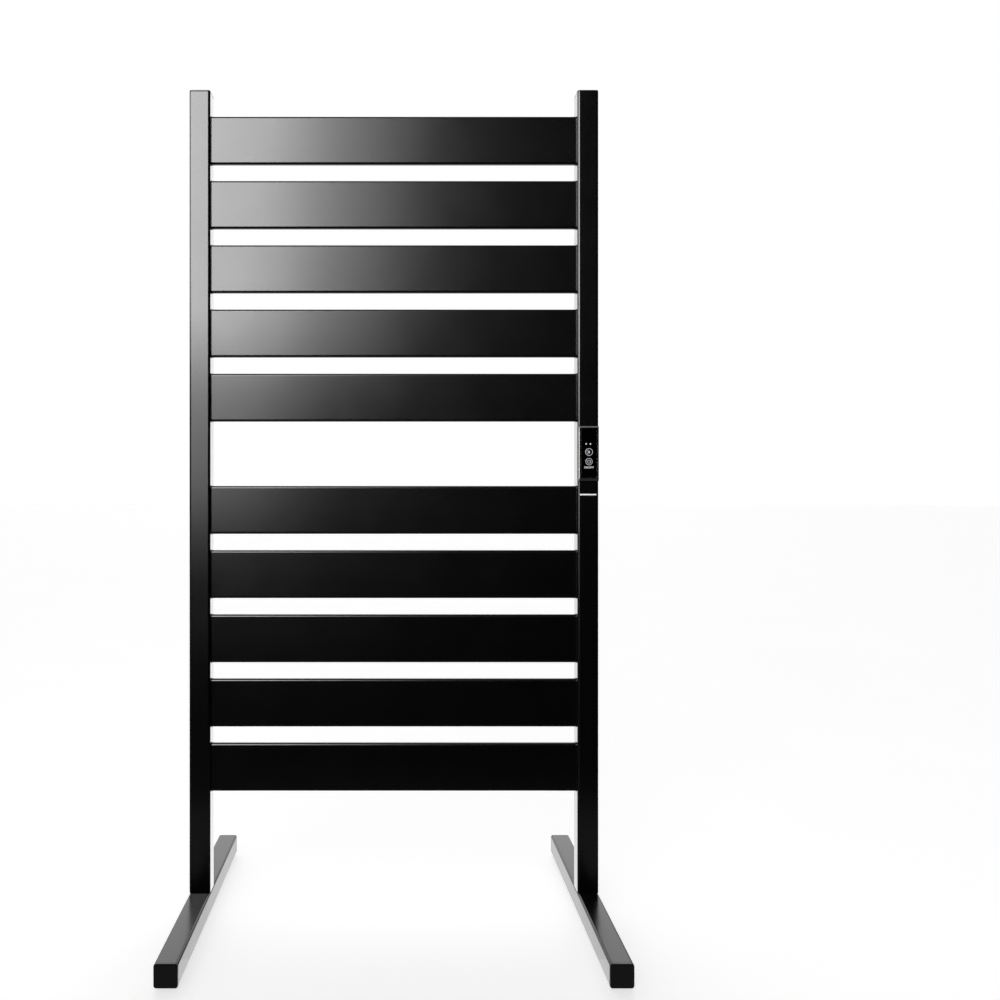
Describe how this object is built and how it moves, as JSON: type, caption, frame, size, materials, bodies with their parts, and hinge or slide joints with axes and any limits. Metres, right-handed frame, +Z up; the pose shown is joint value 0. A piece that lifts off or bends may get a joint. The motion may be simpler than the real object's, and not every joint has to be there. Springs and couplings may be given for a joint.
{
  "type": "towel warmer rack",
  "caption": "Upright electric towel warmer rack: two square posts on long T-feet, flat horizontal heated bars in two groups with a wide gap, and a push-key control module on one post.",
  "frame": {"origin": "on the floor, under the middle of the rack: halfway between the posts in X, the middle of the feet (and of the post depth) in Y, the underside of the foot pads in Z", "axes": "+Z up; +X towards the post with the control module, which is on the right seen from the front; the front, with the keys, faces -Y"},
  "size_m": [0.508, 0.385, 1.026],
  "materials": {
    "frame_paint": "satin black powder coat",
    "bar_paint": "satin black powder coat",
    "cap_plastic": "fine-grained black moulding",
    "collar_plastic": "matt black moulding",
    "black_rubber": "matt black rubber",
    "bezel_plastic": "satin black moulding",
    "gloss_face": "gloss black acrylic",
    "key_plastic": "satin black with printed ring and symbol",
    "clear_lens": "clear light pipe",
    "led_body": "moulded lens",
    "trim_metal": "satin bright aluminium",
    "insert_metal": "machined",
    "zinc_steel": "zinc plated",
    "black_steel": "black oxide",
    "brass_parts": "machined",
    "circuit_board": "solder mask",
    "switch_plastic": "moulded",
    "pale_plastic": "moulded",
    "relay_plastic": "moulded",
    "cable_silicone": "silicone insulation",
    "grey_wire": "wire insulation",
    "dark_wire": "sheathed wires",
    "green_wire": "wire insulation"
  },
  "bodies": {
    "rack": {"left_post": "frame_paint", "right_post": "frame_paint", "heated_bar_1": "bar_paint", "heated_bar_2": "bar_paint", "heated_bar_3": "bar_paint", "heated_bar_4": "bar_paint", "heated_bar_5": "bar_paint", "heated_bar_6": "bar_paint", "heated_bar_7": "bar_paint", "heated_bar_8": "bar_paint", "heated_bar_9": "bar_paint", "heated_bar_10": "bar_paint", "left_bar_collars": "collar_plastic", "right_bar_collars": "collar_plastic", "left_top_cap": "cap_plastic", "right_top_cap": "cap_plastic", "left_post_insert": "insert_metal", "right_post_insert": "insert_metal", "left_foot": "frame_paint", "right_foot": "frame_paint", "foot_end_caps": "cap_plastic", "foot_pads": "black_rubber", "foot_clamp_plates": "zinc_steel", "foot_bolts": "black_steel", "control_housing": "bezel_plastic", "control_gasket": "black_rubber", "control_face": "gloss_face", "control_pcb": "circuit_board", "timer_switch": "switch_plastic", "power_switch": "switch_plastic", "indicator_leds": "led_body", "light_pipes": "clear_lens", "pcb_screws": "zinc_steel", "power_relay": "relay_plastic", "mains_connector": "pale_plastic", "trim_strip": "trim_metal", "heating_cable_upper": "cable_silicone", "heating_cable_lower": "cable_silicone", "lead_splices": "pale_plastic", "control_lead": "grey_wire", "thermal_cutout": "zinc_steel", "temperature_sensor": "brass_parts", "sensor_leads": "grey_wire", "wiring_loom": "dark_wire", "terminal_block": "pale_plastic", "terminal_screws": "brass_parts", "cable_inlet_gland": "black_rubber", "earth_screw": "brass_parts", "earth_ring": "brass_parts", "earth_lead": "green_wire", "wall_mount_nuts": "zinc_steel"},
    "timer_button": {"timer_key": "key_plastic", "timer_plunger": "pale_plastic"},
    "power_button": {"power_key": "key_plastic", "power_plunger": "pale_plastic"}
  },
  "joints": [
    {"name": "timer_press", "type": "slide", "parent": "rack", "child": "timer_button", "axis": [0, 1, 0], "range_m": [0, 0.0006], "stiffness_N_per_m": 400, "springref_m": -0.001},
    {"name": "power_press", "type": "slide", "parent": "rack", "child": "power_button", "axis": [0, 1, 0], "range_m": [0, 0.0006], "stiffness_N_per_m": 400, "springref_m": -0.001}
  ]
}
